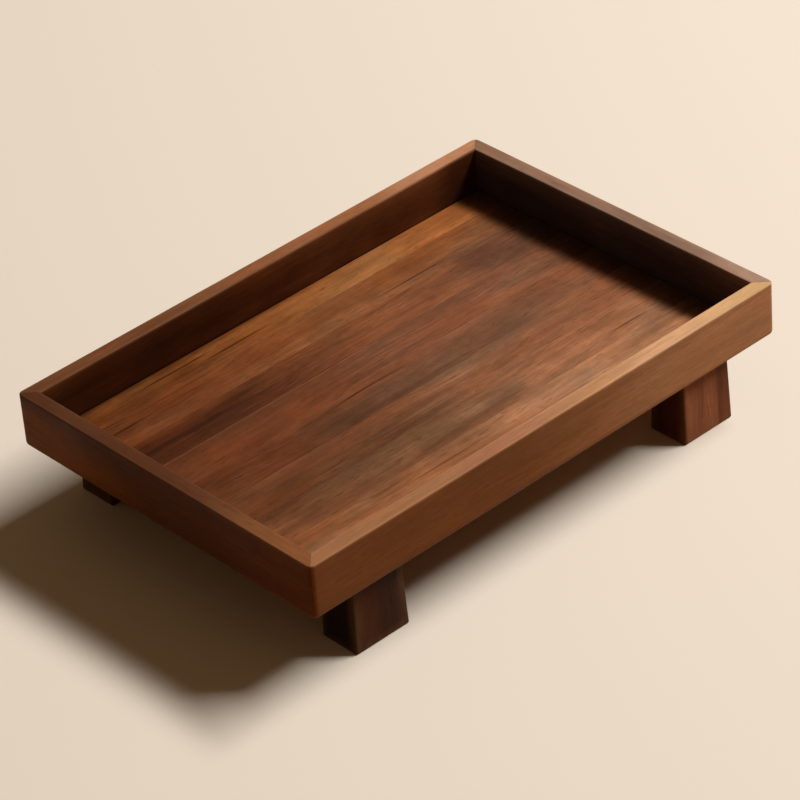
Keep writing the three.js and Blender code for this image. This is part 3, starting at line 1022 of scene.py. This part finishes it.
class TRAY_OT_finish_joinery(bpy.types.Operator):
    """Gives the hidden tongues and dowels their plain pale wood"""

    bl_idname = "tray.finish_joinery"
    bl_label = "Tongues and dowels"

    def execute(self, context):
        peg = Vector(context.scene.tray_woods.peg)
        finish = wood("Peg wood", "z", PEG_SEED, peg, (0.0, 0.0, 0.0), **PEG_FIGURE)
        for name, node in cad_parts.items():
            if name.startswith(("corner_tongue_", "dowel_")):
                node.data.materials.clear()
                node.data.materials.append(finish)
        return {"FINISHED"}


# Stage

# Places and sizes in metres, and the lens and sensor in mm
CAMERA_PLACE = Vector((-1.03075, -1.19346, 1.12166))
CAMERA_AIM = Vector((-0.03559, -0.03842, 0.067))
CAMERA_ROLL = math.radians(-4.73)
CAMERA_LENS = 181.0
CAMERA_SENSOR = 36.0
CAMERA_NEAR = 0.05
CAMERA_FAR = 50.0
STAGE_HALF = 6.0
STAGE_ROUGHNESS = 0.8
STAGE_SHINE = 0.1
KEY_TOWARDS = Vector((0.76, -0.31, 1.0))
KEY_DISTANCE = 4.5
KEY_WIDTH = 2.8
KEY_DEPTH = 0.63


def shown_rays(tree):
    """1 for what is seen straight on, mirrored or through glass, and 0 for light that is scattered on."""
    rays = add(tree, "ShaderNodeLightPath").outputs
    mirrored = calculate(tree, "MAXIMUM", rays["Is Glossy Ray"], rays["Is Transmission Ray"])
    return calculate(tree, "MAXIMUM", rays["Is Camera Ray"], mirrored)


def plain_material(name, tone, bounce):
    """The floor's material: seen from above only, so that the tray can be looked at from below."""
    material = empty_material(name)
    tree = material.node_tree
    pale = mix(tree, shown_rays(tree), opaque(bounce), opaque(tone))
    finish = {"Base Color": pale, "Roughness": STAGE_ROUGHNESS, "Specular IOR Level": STAGE_SHINE}
    surface = add(tree, "ShaderNodeBsdfPrincipled", finish)
    clear = add(tree, "ShaderNodeBsdfTransparent")
    below = add(tree, "ShaderNodeNewGeometry").outputs["Backfacing"]
    either = add(tree, "ShaderNodeMixShader", {0: below, 1: surface.outputs[0], 2: clear.outputs[0]})
    add(tree, "ShaderNodeOutputMaterial", {"Surface": either.outputs[0]})
    return material


def stage_floor(tone, bounce):
    """A large flat square under the tray."""
    made = bmesh.new()
    sides = ((-1, -1), (1, -1), (1, 1), (-1, 1))
    made.faces.new([made.verts.new((x * STAGE_HALF, y * STAGE_HALF, 0.0)) for x, y in sides])
    floor = add_object("stage_floor", finished_mesh("stage_floor", made))
    floor.data.materials.append(plain_material("Stage floor", tone, bounce))


def area_light(name, towards, distance, width, depth, power, tone):
    """A soft light in that direction from the tray, turned to face it."""
    light = bpy.data.lights.new(name, "AREA")
    light.shape = "RECTANGLE"
    light.size = width
    light.size_y = depth
    light.energy = power
    light.color = tone
    lamp = add_object(name, light)
    lamp.location = towards.normalized() * distance
    lamp.rotation_mode = "QUATERNION"
    lamp.rotation_quaternion = (-towards).to_track_quat("-Z", "Y")


def stage_world(backdrop, ambient, tone):
    """Even light from all round, and a pale backdrop for what is seen directly or mirrored."""
    world = bpy.data.worlds.new("Stage world")
    bpy.context.scene.world = world
    world.use_nodes = True
    tree = world.node_tree
    tree.nodes.clear()
    seen = add(tree, "ShaderNodeBackground", {"Color": opaque(backdrop), "Strength": 1.0})
    lit = add(tree, "ShaderNodeBackground", {"Color": opaque(tone), "Strength": ambient})
    either = add(tree, "ShaderNodeMixShader", {0: shown_rays(tree), 1: lit.outputs[0], 2: seen.outputs[0]})
    add(tree, "ShaderNodeOutputWorld", {"Surface": either.outputs[0]})


def stage_camera():
    """A camera at a fixed place, turned to the tray and rolled a little."""
    data = bpy.data.cameras.new("Camera")
    data.lens = CAMERA_LENS
    data.sensor_width = CAMERA_SENSOR
    data.clip_start = CAMERA_NEAR
    data.clip_end = CAMERA_FAR
    camera = add_object("Camera", data)
    aimed = (CAMERA_AIM - CAMERA_PLACE).to_track_quat("-Z", "Y").to_matrix()
    turned = aimed @ Matrix.Rotation(CAMERA_ROLL, 3, "Z")
    camera.matrix_world = Matrix.Translation(CAMERA_PLACE) @ turned.to_4x4()
    bpy.context.scene.camera = camera


class TRAY_OT_set_stage(bpy.types.Operator):
    """Sets the pale floor, the soft light, the backdrop and the camera"""

    bl_idname = "tray.set_stage"
    bl_label = "Stage"

    def execute(self, context):
        stage = context.scene.tray_stage
        context.scene.view_settings.view_transform = "Standard"
        stage_floor(stage.floor, stage.floor_bounce)
        area_light("Key", KEY_TOWARDS, KEY_DISTANCE, KEY_WIDTH, KEY_DEPTH, stage.key_power, stage.key_colour)
        stage_world(stage.backdrop, stage.ambient, stage.ambient_colour)
        stage_camera()
        return {"FINISHED"}


class TRAY_PT_panel(bpy.types.Panel):
    """The tray's pieces, sizes, woods and stage"""

    bl_label = "Serving tray"
    bl_idname = "TRAY_PT_panel"
    bl_space_type = "VIEW_3D"
    bl_region_type = "UI"
    bl_category = "Tray"

    def draw(self, context):
        for operator in OPERATORS:
            self.layout.operator(operator.bl_idname)
        for settings in (context.scene.tray_sizes, context.scene.tray_woods, context.scene.tray_stage):
            box = self.layout.box()
            for name in settings.__annotations__:
                box.prop(settings, name)


GROUPS = {"tray_sizes": TraySizes, "tray_woods": TrayWoods, "tray_stage": TrayStage}
OPERATORS = (
    TRAY_OT_make_rails, TRAY_OT_make_floor, TRAY_OT_make_feet, TRAY_OT_finish_joinery, TRAY_OT_set_stage,
)


def register():
    for name, settings in GROUPS.items():
        bpy.utils.register_class(settings)
        setattr(bpy.types.Scene, name, PointerProperty(type=settings))
    for operator in OPERATORS:
        bpy.utils.register_class(operator)
    bpy.utils.register_class(TRAY_PT_panel)


def unregister():
    bpy.utils.unregister_class(TRAY_PT_panel)
    for operator in reversed(OPERATORS):
        bpy.utils.unregister_class(operator)
    for name, settings in GROUPS.items():
        delattr(bpy.types.Scene, name)
        bpy.utils.unregister_class(settings)


def main():
    register()
    bpy.ops.tray.make_rails()
    bpy.ops.tray.make_floor()
    bpy.ops.tray.make_feet()
    bpy.ops.tray.finish_joinery()
    bpy.ops.tray.set_stage()


if __name__ == "__main__":
    main()
